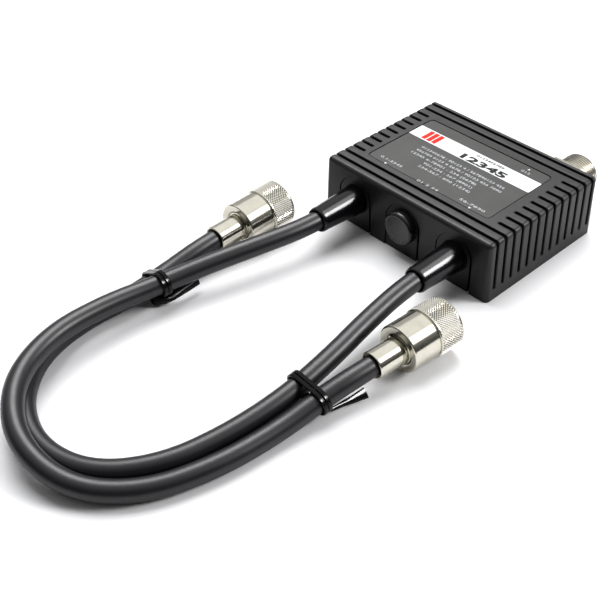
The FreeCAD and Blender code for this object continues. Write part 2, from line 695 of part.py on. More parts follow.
def make_plug_body(label, at):
    body = new_body(label)
    mouth = "cable_radius + mouth_gap"
    neck = "nut_hole - turn_gap"
    turned(body, [("0", "ferrule_recess"), (mouth, "ferrule_recess"), (mouth, "0"),
                  ("ferrule_radius - 0.4", "0"), ("ferrule_radius", "0.4"),
                  ("ferrule_radius", NUT_REAR + " + 0.4"), (neck, NUT_REAR + " + 0.4"), (neck, SHOULDER),
                  ("shoulder_radius", SHOULDER), ("shoulder_radius", COLLAR_BACK),
                  ("collar_radius", COLLAR_BACK), ("collar_radius", COLLAR_FRONT + " - 0.4"),
                  ("collar_radius - 0.4", COLLAR_FRONT), ("collar_bore", COLLAR_FRONT),
                  ("collar_bore", COLLAR_BACK), ("0", COLLAR_BACK)])
    place(body, *at)


def make_plug_insulator(label, at):
    body = new_body(label)
    bore = "pin_root + fit_gap"
    outer = "collar_bore - fit_gap"
    turned(body, [(bore, COLLAR_BACK), (outer, COLLAR_BACK), (outer, CORE_FACE), (bore, CORE_FACE)])
    place(body, *at)


def make_plug_pin(label, at):
    body = new_body(label)
    start = CORE_FACE + " + fit_gap"
    turned(body, [("0", COLLAR_BACK), ("pin_root", COLLAR_BACK), ("pin_root", start),
                  ("pin_radius", start), ("pin_radius", "pin_tip - 1.2"),
                  ("pin_radius * 0.6", "pin_tip - 0.2"), ("0", "pin_tip")])
    place(body, *at)


# Inside: board, filters and shield

BOARD_TOP = "board_height + board_thickness"


def make_circuit_board():
    body = new_body("circuit_board")
    outline = new_sketch(body, "Outline", "XY_Plane", "board_height")
    rectangle(outline, "0", "0", "board_length / 2", "board_width / 2")
    for x, y in CORNERS:
        circle(outline, x + "post_x", y + "post_y", "screw_radius + screw_gap")
    body.Tip = pad(body, outline, "board_thickness")


def make_shield_wall():
    body = new_body("shield_wall")
    outline = new_sketch(body, "Outline", "XY_Plane", BOARD_TOP)
    rectangle(outline, "0", "0", "shield_thickness / 2", "shield_length / 2")
    body.Tip = pad(body, outline, "%s - shield_gap - (%s)" % (CAVITY_TOP, BOARD_TOP))


def make_coils(label, first_x, radius, bore):
    """Two wound coils side by side, on legs that stand on the board."""
    body = new_body(label, several=True)
    outline = []
    half = "coil_turns * wire_pitch / 2"
    for turn in range(int(size("coil_turns"))):
        start = "%d * wire_pitch - %s" % (turn, half)
        outline.append(("%s - 0.35" % radius, start))
        outline.append((radius, "%s + 0.5 * wire_pitch" % start))
    outline += [("%s - 0.35" % radius, half), (bore, half), (bore, "-(%s)" % half)]
    winding = new_sketch(body, "Winding", "XY_Plane", "%s + coil_lift + %s" % (BOARD_TOP, radius))
    polygon(winding, [("%s + %s" % (first_x, r), y) for r, y in outline])
    coil = body.newObject("PartDesign::Revolution", "Coil")
    coil.Profile = winding
    axis = new_sketch(body, "Axis", "XY_Plane", "%s + coil_lift + %s" % (BOARD_TOP, radius))
    line = Part.LineSegment(Vector(number(first_x), -5, 0), Vector(number(first_x), 5, 0))
    index = axis.addGeometry(line, False)
    fix_point(axis, index, 1, first_x, "-5")
    fix_point(axis, index, 2, first_x, "5")
    coil.ReferenceAxis = (axis, ["Edge1"])
    coil.Angle = 360
    legs = new_sketch(body, "Legs", "XY_Plane", BOARD_TOP)
    for end in ("-(%s) + leg_radius + 0.2" % half, "%s - leg_radius - 0.2" % half):
        circle(legs, first_x, end, "leg_radius")
    stand = pad(body, legs, "coil_lift + (%s - %s) / 2" % (radius, bore))
    pattern = row(body, stand, "X_Axis", "coil_pitch", "2")
    pattern.Originals = [coil, stand]


def make_capacitors():
    body = new_body("filter_capacitors", several=True)
    first = "-(disc_count - 1) / 2 * disc_pitch"
    disc = new_sketch(body, "Disc", "XZ_Plane", "-disc_y")
    circle(disc, first, BOARD_TOP + " + coil_lift + disc_radius", "disc_radius")
    coin = pad(body, disc, "disc_thickness", both=True)
    legs = new_sketch(body, "Legs", "XY_Plane", BOARD_TOP)
    for sign in ("-", "+"):
        circle(legs, "%s %s disc_radius / 2" % (first, sign), "disc_y", "leg_radius")
    stand = pad(body, legs, "coil_lift + disc_radius / 2")
    pattern = row(body, stand, "X_Axis", "(disc_count - 1) * disc_pitch", "disc_count")
    pattern.Originals = [coin, stand]


# Cables: straight runs joined by tangent arcs

ARC_SHARE = 0.45


def route_wire(points):
    """Runs through the points, rounded at each; also the radius and turn of every arc."""
    edges, radii = [], []
    here = points[0]
    for before, corner, after in zip(points, points[1:], points[2:]):
        back, ahead = before - corner, after - corner
        reach = ARC_SHARE * min(back.Length, ahead.Length)
        turn = math.pi - back.getAngle(ahead)
        radius = reach / math.tan(turn / 2)
        back.normalize()
        ahead.normalize()
        start, end = corner + back * reach, corner + ahead * reach
        middle = back + ahead
        middle.normalize()
        top = corner + middle * (radius / math.cos(turn / 2) - radius)
        edges.append(Part.LineSegment(here, start).toShape())
        edges.append(Part.Arc(start, top, end).toShape())
        radii.append((radius, math.degrees(turn)))
        here = end
    edges.append(Part.LineSegment(here, points[-1]).toShape())
    return Part.Wire(edges), radii


def tube(points, radius):
    """A round tube along a route."""
    wire, radii = route_wire(points)
    ring = Part.Circle(points[0], points[1] - points[0], radius).toShape()
    solid = wire.makePipeShell([Part.Wire([ring])], True, False)
    expected = math.pi * radius * radius * wire.Length
    if abs(solid.Volume / expected - 1) > 0.002:
        raise RuntimeError("a tube's volume %.1f is not %.1f" % (solid.Volume, expected))
    return solid, wire, radii


def plug_point(side, along):
    """A point on a plug's axis, along it from the rear of the ferrule."""
    turn = math.radians(size(side + "_plug_turn"))
    return Vector(size(side + "_plug_x") - math.sin(turn) * along,
                  size(side + "_plug_y") + math.cos(turn) * along, size("knurl_radius"))


def boot_point(sign, along):
    """A point on a boot's axis, in front of the wall."""
    return Vector(sign * size("port_pitch"), -size("box_depth") / 2 - along, size("port_height"))


EXIT_RUN = 9.0

# The lead of the left port crosses over to the right plug.
LEFT_LEAD_ROUTE = [
    (-28.2, -75.0, 12.1), (-33.2, -94.0, 11.3), (-38.0, -115.0, 9.9), (-40.5, -136.0, 11.2),
    (-39.2, -157.5, 12.0), (-28.6, -177.6, 12.0), (-9.0, -188.5, 9.9), (12.8, -185.6, 5.3),
    (28.3, -170.2, 3.8), (35.5, -148.0, 3.65), (37.7, -126.0, 4.0), (38.9, -109.5, 6.8),
]

# The lead of the right port crosses under it to the left plug.
RIGHT_LEAD_ROUTE = [
    (26.2, -76.0, 10.6), (29.0, -95.0, 8.6), (30.6, -116.0, 6.4), (28.9, -138.0, 4.4),
    (24.1, -160.0, 3.7), (11.6, -177.3, 3.65), (-8.2, -183.2, 3.65), (-28.4, -176.5, 3.65),
    (-42.4, -160.6, 3.65), (-46.8, -141.0, 3.65), (-44.8, -122.5, 4.6), (-45.4, -105.5, 6.2),
]


def lead_points(sign, route, side):
    """From inside a boot to inside a ferrule."""
    mouth = size("boot_length") - size("boot_recess")
    recess = size("ferrule_recess")
    start = [boot_point(sign, mouth), boot_point(sign, mouth + EXIT_RUN)]
    end = [plug_point(side, recess - EXIT_RUN), plug_point(side, recess)]
    return start + [Vector(*point) for point in route] + end


def make_lead(label, points):
    solid, wire, radii = tube(points, size("cable_radius"))
    add_shape(label, solid)
    print("%s: length %.1f, least radius %.1f, lowest point %.2f" % (
        label, wire.Length, min(radius for radius, turn in radii), solid.BoundBox.ZMin))
    print("  radii and turns: " + ", ".join("%.0f/%.0f" % pair for pair in radii))
    return wire


def make_lead_wire(label, x, y, toward):
    """A short wire from a conductor down to the board; toward is its way along Y."""
    top = Vector(x, y, size("port_height"))
    knee = top + Vector(0, toward * size("lead_reach"), 0)
    foot = Vector(knee.x, knee.y, number(BOARD_TOP))
    solid, wire, radii = tube([top, knee, foot], size("lead_radius"))
    add_shape(label, solid)


# Twist ties: a flat band round both leads, with a twisted end


def crossing(wire, side, y):
    """The point of a route at a given y on one side of the middle, and its direction there."""
    corner = Vector(0 if side > 0 else -200, y, -200)
    cut = Part.makePlane(200, 400, corner, Vector(0, -1, 0), Vector(1, 0, 0))
    for edge in wire.Edges:
        distance, pairs, details = edge.distToShape(cut)
        if distance < 1e-6:
            point = pairs[0][0]
            along = edge.tangentAt(edge.Curve.parameter(point))
            return point, along if along.y < 0 else along * -1
    raise RuntimeError("a tie lies beside its leads")


def oval(first, second, along, radius):
    """The outline of a belt round two circles, square to along."""
    across = second - first
    across.normalize()
    side = across.cross(along) * radius
    tip_a, tip_b = first - across * radius, second + across * radius
    edges = [Part.LineSegment(first + side, second + side).toShape(),
             Part.Arc(second + side, tip_b, second - side).toShape(),
             Part.LineSegment(second - side, first - side).toShape(),
             Part.Arc(first - side, tip_a, first + side).toShape()]
    return Part.Wire(edges)


def make_tie(label, wires, side, y, tail):
    """tail lists (point, half width, half thickness) from the band to the loose end."""
    (first, way_a), (second, way_b) = [crossing(wire, side, y) for wire in wires]
    along = way_a + way_b
    along.normalize()
    middle = (first + second) / 2
    first = first - along * (first - middle).dot(along)
    second = second - along * (second - middle).dot(along)
    inner = size("cable_radius") + size("tie_gap")
    outer = inner + size("tie_thickness")
    start = along * (-size("tie_width") / 2)
    depth = along * size("tie_width")
    band = Part.Face(oval(first + start, second + start, along, outer)).extrude(depth)
    band = band.cut(Part.Face(oval(first + start * 2, second + start * 2, along, inner)).extrude(depth * 2))
    sections = []
    for point, half_width, half_thickness in tail:
        across = Vector(half_width, 0, 0)
        up = Vector(0, 0, half_thickness)
        corners = [point - across - up, point + across - up, point + across + up, point - across + up]
        sections.append(Part.makePolygon(corners + corners[:1]))
    strip = Part.makeLoft(sections, True, True)
    add_shape(label, band.fuse(strip).removeSplitter())


# Build

LEFT_PLUG = ("left_plug_x", "left_plug_y", "knurl_radius", "left_plug_turn")
RIGHT_PLUG = ("right_plug_x", "right_plug_y", "knurl_radius", "right_plug_turn")

make_top_cover()
make_base_plate()
make_label_plate()
make_hole_plug()
for side, sign in (("left", "-"), ("right", "")):
    make_cable_boot(side + "_cable_boot", sign + "port_pitch")
    make_cable_end(side + "_cable_end", sign + "port_pitch")
    make_crimp_ring(side + "_crimp_ring", sign + "port_pitch")

make_socket_shell()
make_socket_nut()
make_socket_washer()
make_socket_insulator()
make_socket_contact()

for side, at in (("left", LEFT_PLUG), ("right", RIGHT_PLUG)):
    make_coupling_nut(side + "_coupling_nut", at)
    make_plug_body(side + "_plug_body", at)
    make_plug_insulator(side + "_plug_insulator", at)
    make_plug_pin(side + "_plug_pin", at)

make_circuit_board()
make_shield_wall()
make_coils("low_band_coils", "-2 * coil_pitch + 1", "coil_radius", "coil_bore")
make_coils("high_band_coils", "coil_pitch - 1", "small_coil_radius", "small_coil_bore")
make_capacitors()
make_screws("board_screws", "post_x", "post_y", "base_thickness + seam", "screw_head",
            "screw_head_height", "board_height - base_thickness - seam + board_thickness", True)
make_screws("base_screws", BOSS_X, BOSS_Y, "head_sink", "base_head", "base_head_height",
            "boss_hole - 1", False)

left_route = make_lead("left_port_lead", lead_points(-1, LEFT_LEAD_ROUTE, "right"))
right_route = make_lead("right_port_lead", lead_points(1, RIGHT_LEAD_ROUTE, "left"))
conductor_tip = number("-box_depth / 2 - (%s - core_length - conductor_length)" % CRIMP_BACK)
make_lead_wire("left_lead_wire", -size("port_pitch"), conductor_tip, 1)
make_lead_wire("right_lead_wire", size("port_pitch"), conductor_tip, 1)
contact_tip = number("box_depth / 2 + %s - contact_tail" % SHELL_BACK)
make_lead_wire("socket_lead_wire", size("socket_x"), contact_tip, -1)

both = (left_route, right_route)
make_tie("left_cable_tie", both, -1, size("left_tie_y"), [
    (Vector(-33.7, -113.5, 6.0), 1.3, 1.1), (Vector(-33.4, -107.5, 5.0), 1.3, 1.1),
    (Vector(-35.6, -100.0, 4.6), 2.2, 0.5)])
make_tie("right_cable_tie", both, 1, size("right_tie_y"), [
    (Vector(42.9, -109.0, 2.8), 1.3, 1.0), (Vector(43.0, -103.5, 2.6), 1.3, 1.0),
    (Vector(44.8, -96.5, 2.6), 2.4, 0.5)])

doc.recompute()

# Checks and export

failed = [obj.Name for obj in doc.Objects if "Invalid" in obj.State or "Error" in obj.State]
if failed:
    raise RuntimeError("failed objects: " + ", ".join(failed))
for node in nodes:
    if node.Shape.isNull() or not node.Shape.isValid() or not node.Shape.Solids:
        raise RuntimeError("bad shape: " + node.Label)

gap = min(left_route.distToShape(right_route)[0], 1e9) - 2 * size("cable_radius")
print("least gap between the leads: %.2f" % gap)

os.makedirs("parts", exist_ok=True)
for node in nodes:
    node.Shape.exportStep(os.path.join("parts", node.Label + ".step"))
    print("%-22s solids %d  volume %9.1f" % (node.Label, len(node.Shape.Solids), node.Shape.Volume))
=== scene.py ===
import json
import math

import bmesh
import bpy
from mathutils import Matrix, Vector

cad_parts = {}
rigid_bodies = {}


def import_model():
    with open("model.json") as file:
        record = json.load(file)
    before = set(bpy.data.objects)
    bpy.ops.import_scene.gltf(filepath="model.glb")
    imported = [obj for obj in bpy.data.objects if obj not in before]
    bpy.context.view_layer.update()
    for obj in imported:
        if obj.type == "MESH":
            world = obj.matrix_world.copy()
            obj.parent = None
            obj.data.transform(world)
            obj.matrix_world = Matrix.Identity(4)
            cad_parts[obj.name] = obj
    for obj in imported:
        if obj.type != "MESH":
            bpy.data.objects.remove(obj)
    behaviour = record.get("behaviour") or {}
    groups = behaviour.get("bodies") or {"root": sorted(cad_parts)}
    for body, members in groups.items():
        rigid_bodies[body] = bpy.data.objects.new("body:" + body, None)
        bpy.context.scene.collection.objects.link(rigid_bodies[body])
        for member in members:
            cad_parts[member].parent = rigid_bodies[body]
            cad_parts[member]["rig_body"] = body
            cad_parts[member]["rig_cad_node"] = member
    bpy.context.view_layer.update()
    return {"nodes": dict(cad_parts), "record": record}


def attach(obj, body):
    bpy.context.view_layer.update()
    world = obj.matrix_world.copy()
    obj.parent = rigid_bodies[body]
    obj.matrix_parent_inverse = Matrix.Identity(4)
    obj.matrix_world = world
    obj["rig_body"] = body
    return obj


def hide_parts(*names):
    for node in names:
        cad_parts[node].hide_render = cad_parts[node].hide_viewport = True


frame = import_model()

# Antenna duplexer: ribbed box, two captive leads with large threaded plugs, one socket.
# Sizes are in millimetres and are turned to metres where a mesh is made. Lamps, the camera and
# the floor are placed in metres. The front wall, with the boots, faces -Y.

MM = 0.001

# Sizes that the pieces share

CABLE_RADIUS = 3.65
PORT_PITCH = 24.5
PORT_HEIGHT = 12.35
FRONT_Y = -31.0
REAR_Y = 31.0
BOX_TOP = 24.7
AXIS_HEIGHT = 9.25
LEFT_PLUG = (-45.3, -83.5, 2.9)
RIGHT_PLUG = (41.3, -89.5, -2.9)
SOCKET_X = 24.0
PLATE_TOP = 24.6


# Materials


def new_material(name, colour, roughness, metallic=0.0, specular=0.5):
    """A plain shader with its constant values set on its own sockets."""
    material = bpy.data.materials.new(name)
    material.use_nodes = True
    shader = material.node_tree.nodes["Principled BSDF"]
    shader.inputs["Base Color"].default_value = (*colour, 1.0)
    shader.inputs["Roughness"].default_value = roughness
    shader.inputs["Metallic"].default_value = metallic
    shader.inputs["Specular IOR Level"].default_value = specular
    return material


def noise(material, scale, detail=3.0):
    """Noise on the piece's own coordinates; scale is in features to the metre."""
    tree = material.node_tree
    where = tree.nodes.new("ShaderNodeTexCoord")
    texture = tree.nodes.new("ShaderNodeTexNoise")
    texture.inputs["Scale"].default_value = scale
    texture.inputs["Detail"].default_value = detail
    tree.links.new(where.outputs["Object"], texture.inputs["Vector"])
    return texture


def grain(material, scale, height, strength=0.5):
    """A fine bump, height in millimetres."""
    tree = material.node_tree
    texture = noise(material, scale)
    bump = tree.nodes.new("ShaderNodeBump")
    bump.inputs["Strength"].default_value = strength
    bump.inputs["Distance"].default_value = height * MM
    tree.links.new(texture.outputs["Fac"], bump.inputs["Height"])
    tree.links.new(bump.outputs["Normal"], tree.nodes["Principled BSDF"].inputs["Normal"])


def mottle(material, first, second, scale, low=0.35, high=0.65, socket="Base Color"):
    """Slow change between two colours, or two greys for a number's socket."""
    tree = material.node_tree
    texture = noise(material, scale, detail=5.0)
    ramp = tree.nodes.new("ShaderNodeValToRGB")
    ramp.color_ramp.elements[0].position = low
    ramp.color_ramp.elements[1].position = high
    ramp.color_ramp.elements[0].color = (*first, 1.0)
    ramp.color_ramp.elements[1].color = (*second, 1.0)
    tree.links.new(texture.outputs["Fac"], ramp.inputs["Fac"])
    tree.links.new(ramp.outputs["Color"], tree.nodes["Principled BSDF"].inputs[socket])


def grey(value):
    """A colour without hue."""
    return (value, value, value)


def moulded_plastic(name, colour, roughness, grain_height=0.03, specular=0.5):
    """Matt plastic with the fine grain of its mould."""
    material = new_material(name, colour, roughness, specular=specular)
    lighter = tuple(c * 1.25 for c in colour)
    mottle(material, colour, lighter, 90)
    mottle(material, grey(roughness - 0.02), grey(roughness + 0.03), 700, socket="Roughness")
    grain(material, 2600, grain_height)
    return material


def glossy_rubber(name, colour, roughness, specular):
    """Smooth soft plastic, a little uneven in its shine."""
    material = new_material(name, colour, roughness, specular=specular)
    mottle(material, grey(roughness), grey(roughness + 0.03), 400, socket="Roughness")
    grain(material, 1400, 0.002, 0.2)
    return material


def bright_metal(name, colour, roughness):
    """Plated or bare metal, with duller spots."""
    material = new_material(name, colour, roughness, metallic=1.0)
    darker = tuple(c * 0.93 for c in colour)
    mottle(material, darker, colour, 300, 0.3, 0.55)
    mottle(material, grey(roughness), grey(roughness + 0.04), 900, socket="Roughness")
    grain(material, 5200, 0.003, 0.25)
    return material


HOUSING = moulded_plastic("housing_plastic", (0.013, 0.013, 0.0135), 0.38, specular=0.36)
BASE = moulded_plastic("base_plastic", (0.013, 0.013, 0.0135), 0.38, specular=0.36)
CAP = moulded_plastic("plug_plastic", (0.014, 0.014, 0.015), 0.25, specular=0.62)
BOOT = glossy_rubber("boot_rubber", (0.004, 0.004, 0.005), 0.18, 0.40)
JACKET = glossy_rubber("cable_jacket", (0.008, 0.0075, 0.0095), 0.37, 0.56)
TIE = glossy_rubber("tie_plastic", (0.003, 0.003, 0.003), 0.18, 0.22)
PLATE = moulded_plastic("label_grey", (0.033, 0.033, 0.032), 0.45, 0.01, 0.30)
NICKEL = bright_metal("nickel", (0.58, 0.56, 0.49), 0.12)
NICKEL_WORN = bright_metal("nickel_worn", (0.66, 0.60, 0.50), 0.26)
# The knurl has the same nickel plating as the skirt; its lighter colour is a painted glint.
KNURL_PAINTED_GLINT = bright_metal("knurl_metal", (0.86, 0.84, 0.78), 0.16)
THREAD_METAL = bright_metal("thread_nickel", (0.72, 0.69, 0.62), 0.20)
PIN_METAL = bright_metal("pin_metal", (0.80, 0.78, 0.72), 0.20)
CONTACT_METAL = bright_metal("contact_metal", (0.78, 0.62, 0.34), 0.25)
STEEL = bright_metal("screw_steel", (0.42, 0.42, 0.43), 0.34)
TIN = bright_metal("tinned_steel", (0.62, 0.62, 0.60), 0.38)
COPPER = bright_metal("copper", (0.72, 0.33, 0.18), 0.30)
INSULATOR = moulded_plastic("insulator_plastic", (0.62, 0.57, 0.47), 0.42, 0.01)
BOARD = moulded_plastic("board_laminate", (0.10, 0.17, 0.06), 0.45, 0.02)
CERAMIC = moulded_plastic("ceramic", (0.36, 0.15, 0.04), 0.5, 0.02)
WHITE_INK = moulded_plastic("white_ink", (0.56, 0.57, 0.58), 0.5, 0.004)
RED_INK = moulded_plastic("red_ink", (0.58, 0.022, 0.014), 0.5, 0.004, 0.35)
GREY_INK = moulded_plastic("grey_ink", (0.38, 0.39, 0.40), 0.5, 0.004)
BLACK_INK = moulded_plastic("black_ink", (0.012, 0.012, 0.012), 0.5, 0.004)
FLOOR = new_material("floor", (0.76, 0.76, 0.77), 0.9)

# The finish of each slot in the record, for the pieces that stay as the CAD has them

SLOTS = {
    "housing": HOUSING, "base": BASE, "label": PLATE, "rubber_trim": BOOT, "cable_jacket": JACKET,
    "crimp_metal": NICKEL_WORN, "nickel": NICKEL, "insulator": INSULATOR, "contact": PIN_METAL,
    "board": BOARD, "tinned_steel": TIN, "copper": COPPER, "ceramic": CERAMIC,
    "screw_steel": STEEL, "tie_plastic": TIE,
}


# Making and placing

MERGE_WITHIN = 0.000001
SMOOTH_ANGLE = 40


def begin():
    """Nothing selected, so that an operator acts on what follows alone."""
    bpy.ops.object.select_all(action="DESELECT")


def only(piece):
    """The piece alone selected, and active."""
    begin()
    piece.select_set(True)
    bpy.context.view_layer.objects.active = piece


def edit():
    """Into edit mode with every vertex selected."""
    bpy.ops.object.mode_set(mode="EDIT")
    bpy.ops.mesh.select_mode(type="VERT")
    bpy.ops.mesh.select_all(action="SELECT")


def leave():
    """Back to object mode."""
    bpy.ops.object.mode_set(mode="OBJECT")


def settle(piece):
    """Its place goes into its mesh."""
    only(piece)
    bpy.ops.object.transform_apply(location=True, rotation=True, scale=True)


def turned(name, profile, sides=72):
    """A shape turned about the Y axis through pairs of radius and place along it."""
    begin()
    radius, place = profile[0]
    bpy.ops.mesh.primitive_circle_add(vertices=sides, radius=radius * MM,
                                      location=(0, place * MM, 0), rotation=(math.pi / 2, 0, 0))
    piece = bpy.context.object
    piece.name = name
    settle(piece)
    edit()
    for next_radius, next_place in profile[1:]:
        step = (0, (next_place - place) * MM, 0)
        bpy.ops.mesh.extrude_region_move(TRANSFORM_OT_translate={"value": step})
        ratio = next_radius / radius
        bpy.ops.transform.resize(value=(ratio, 1, ratio), center_override=(0, 0, 0))
        radius, place = next_radius, next_place
    bpy.ops.mesh.select_all(action="SELECT")
    bpy.ops.mesh.remove_doubles(threshold=MERGE_WITHIN)
    bpy.ops.mesh.fill_holes(sides=0)
    bpy.ops.mesh.normals_make_consistent(inside=False)
    leave()
    return piece


def bevelled(piece, width, segments=2, angle=30):
    """Rounded edges, and faces smooth up to an angle."""
    only(piece)
    bpy.ops.object.modifier_add(type="BEVEL")
    bevel = piece.modifiers[-1]
    bevel.width = width * MM
    bevel.segments = segments
    bevel.limit_method = "ANGLE"
    bevel.angle_limit = math.radians(angle)
    bpy.ops.object.modifier_apply(modifier=bevel.name)
    bpy.ops.object.shade_smooth_by_angle(angle=math.radians(SMOOTH_ANGLE))
    bpy.ops.object.modifier_add(type="WEIGHTED_NORMAL")
    piece.modifiers[-1].keep_sharp = True
    bpy.ops.object.modifier_apply(modifier=piece.modifiers[-1].name)
    return piece


def put(piece, x, y, z, turn=0.0):
    """Moved and turned about the vertical, with its place in its mesh."""
    piece.location = (x * MM, y * MM, z * MM)
    piece.rotation_euler = (0, 0, math.radians(turn))
    settle(piece)
    return piece


def copied(piece, name):
    """A twin with its own mesh."""
    twin = piece.copy()
    twin.data = piece.data.copy()
    twin.name = name
    bpy.context.collection.objects.link(twin)
    return twin


def dress(piece, material, slot, *nodes, body="housing"):
    """Its material, the CAD nodes it stands for and what it moves with; the slot in the record is not
    used.
    """
    piece.data.materials.clear()
    piece.data.materials.append(material)
    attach(piece, body)
    if nodes:
        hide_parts(*nodes)
    return piece


def from_cad(node, name):
    """A merged copy of a CAD node with its flat faces whole."""
    piece = frame["nodes"][node].copy()
    piece.data = piece.data.copy()
    piece.name = name
    piece.parent = None
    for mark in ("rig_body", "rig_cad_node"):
        if mark in piece:
            del piece[mark]
    bpy.context.collection.objects.link(piece)
    only(piece)
    edit()
    bpy.ops.mesh.remove_doubles(threshold=MERGE_WITHIN)
    bpy.ops.mesh.dissolve_limited(angle_limit=math.radians(0.5))
    leave()
    return piece


# Camera, at the photograph's angle: turn, height and roll in degrees, place in metres

VIEW_TURN = 48.379
VIEW_HEIGHT = 40.599
VIEW_ROLL = -1.457
CAMERA_PLACE = (0.19362, -0.25436, 0.22913)
LENS = 59.2
SENSOR = 36


def make_camera():
    """The camera looks down at the front right corner of the box."""
    turn, height, roll = (math.radians(a) for a in (VIEW_TURN, VIEW_HEIGHT, VIEW_ROLL))
    back = Vector((math.sin(turn) * math.cos(height), -math.cos(turn) * math.cos(height),
                   math.sin(height)))
    right = Vector((math.cos(turn), math.sin(turn), 0))
    up = back.cross(right)
    across = right * math.cos(roll) + up * math.sin(roll)
    upward = up * math.cos(roll) - right * math.sin(roll)
    begin()
    bpy.ops.object.camera_add()
    camera = bpy.context.object
    axes = Matrix((across, upward, back)).transposed().to_4x4()
    camera.matrix_world = Matrix.Translation(CAMERA_PLACE) @ axes
    camera.data.lens = LENS
    camera.data.sensor_width = SENSOR
    camera.data.clip_start = 0.01
    bpy.context.scene.camera = camera


make_camera()


# Cords: each follows its route from inside a boot to inside a ferrule

LEFT_PORT_ROUTE = [
    (-24.5, -48.2, 12.35), (-24.5, -57.2, 12.35), (-28.2, -75.0, 12.1), (-33.2, -94.0, 11.3),
    (-38.0, -115.0, 9.9), (-40.5, -136.0, 11.2), (-39.2, -157.5, 12.0), (-28.6, -177.6, 12.0),
    (-9.0, -188.5, 9.9), (12.8, -185.6, 5.3), (28.3, -170.2, 3.8), (35.5, -148.0, 3.7),
    (37.7, -126.0, 4.0), (38.9, -109.5, 6.8), (40.971, -95.992, 9.25), (41.426, -87.003, 9.25),
]
RIGHT_PORT_ROUTE = [
    (24.5, -48.2, 12.35), (24.5, -57.2, 12.35), (26.2, -76.0, 10.6), (29.0, -95.0, 8.6),
    (30.6, -116.0, 6.4), (28.9, -138.0, 4.4), (24.1, -160.0, 3.7), (11.6, -177.3, 3.7),
    (-8.2, -183.2, 3.7), (-28.4, -176.5, 3.7), (-42.4, -160.6, 3.7), (-46.8, -141.0, 3.7),
    (-44.8, -122.5, 4.6), (-45.4, -105.5, 6.2), (-44.971, -89.992, 9.25), (-45.426, -81.003, 9.25),
]


def make_cord(name, route):
    """A round cord along a smooth route, and the points of its middle line."""
    curve = bpy.data.curves.new(name, "CURVE")
    curve.dimensions = "3D"
    spline = curve.splines.new("NURBS")
    spline.points.add(len(route) - 1)
    for point, place in zip(spline.points, route):
        point.co = (*(c * MM for c in place), 1)
    spline.order_u = 3
    spline.use_endpoint_u = True
    spline.resolution_u = 10
    curve.resolution_u = 10
    cord = bpy.data.objects.new(name, curve)
    bpy.context.collection.objects.link(cord)
    bpy.context.view_layer.update()
    evaluated = cord.evaluated_get(bpy.context.evaluated_depsgraph_get())
    bare = bpy.data.meshes.new_from_object(evaluated)
    line = [vertex.co.copy() for vertex in bare.vertices]
    curve.bevel_depth = CABLE_RADIUS * MM
    curve.bevel_resolution = 6
    curve.use_fill_caps = True
    return cord, line


left_cord, left_line = make_cord("left_port_lead_jacket", LEFT_PORT_ROUTE)
right_cord, right_line = make_cord("right_port_lead_jacket", RIGHT_PORT_ROUTE)
for cord, node in ((left_cord, "left_port_lead"), (right_cord, "right_port_lead")):
    dress(cord, JACKET, "cable_jacket", node)


# Housing

LABEL_CLEAR = (31.0, 20.5)
RIB_END_X = 38.2
RIB_FOOT = 3.5
RIM_ANGLE = 50
RIM_WIDTH = 0.42
TAB_HALF = 8.3
TAB_DEPTH = 4.0
TAB_GAP = 1.0


def rounded_ribs(piece, width):
    """The rim of every slot is rounded, on the top and on both ends, and the label's step is not."""
    only(piece)
    edit()
    bpy.ops.mesh.select_mode(type="EDGE")
    bpy.ops.mesh.select_all(action="DESELECT")
    mesh = bmesh.from_edit_mesh(piece.data)
    for rim in mesh.edges:
        ends = [vertex.co / MM for vertex in rim.verts]
        on_end = all(abs(end.x) > RIB_END_X and end.z > RIB_FOOT or end.z > BOX_TOP - 0.4
                     for end in ends)
        label = all(abs(end.x) < LABEL_CLEAR[0] and abs(end.y) < LABEL_CLEAR[1] for end in ends)
        sharp = rim.is_convex and rim.calc_face_angle(0) > math.radians(RIM_ANGLE)
        rim.select_set(on_end and not label and sharp)
    bmesh.update_edit_mesh(piece.data)
    bpy.ops.mesh.bevel(offset=width * MM, segments=3, affect="EDGES", clamp_overlap=False)
    leave()
    return piece


def drawn_in(piece, gap):
    """The right side of each arch tab stands back from its arch."""
    for vertex in piece.data.vertices:
        port = round(vertex.co.x / MM / PORT_PITCH) * PORT_PITCH * MM
        reach = (vertex.co.x - port) / (TAB_HALF * MM)
        if vertex.co.y < (FRONT_Y + TAB_DEPTH) * MM and 0 < reach < 1.02:
            vertex.co.x -= gap * MM * reach
    return piece


shell = bevelled(rounded_ribs(from_cad("top_cover", "housing_shell"), RIM_WIDTH), 0.1, angle=50)
dress(shell, HOUSING, "housing", "top_cover")
base = bevelled(drawn_in(from_cad("base_plate", "base_and_tabs"), TAB_GAP), 0.12)
dress(base, BASE, "base", "base_plate")
plate = bevelled(from_cad("label_plate", "label_board"), 0.06)
dress(plate, PLATE, "label", "label_plate")


# Front wall: blanking plug and boots

PLUG_PROFILE = [
    (4.5, -4.9), (5.05, -3.9), (5.05, -3.1), (4.5, -3.1), (4.5, -0.3), (6.75, -0.3), (6.75, 1.6),
    (6.62, 2.2), (6.3, 2.7), (5.9, 2.95), (5.5, 3.0), (5.3, 2.9), (5.1, 2.85),
]
BOOT_PROFILE = [
    (3.75, -5.5), (5.7, -5.5), (5.7, -3.1), (4.5, -3.1), (4.5, -0.3), (6.1, -0.3), (5.95, 0.6),
    (5.75, 2.4), (5.3, 9.0), (4.85, 17.6), (4.9, 18.6), (4.85, 19.5), (4.6, 20.05), (4.3, 20.2),
    (4.05, 20.0), (4.05, 17.2), (3.75, 17.2), (3.75, -5.5),
]

hole_plug = bevelled(turned("blanking_plug", PLUG_PROFILE), 0.12)
put(hole_plug, 0, FRONT_Y, PORT_HEIGHT, 180)
dress(hole_plug, CAP, "housing", "hole_plug")

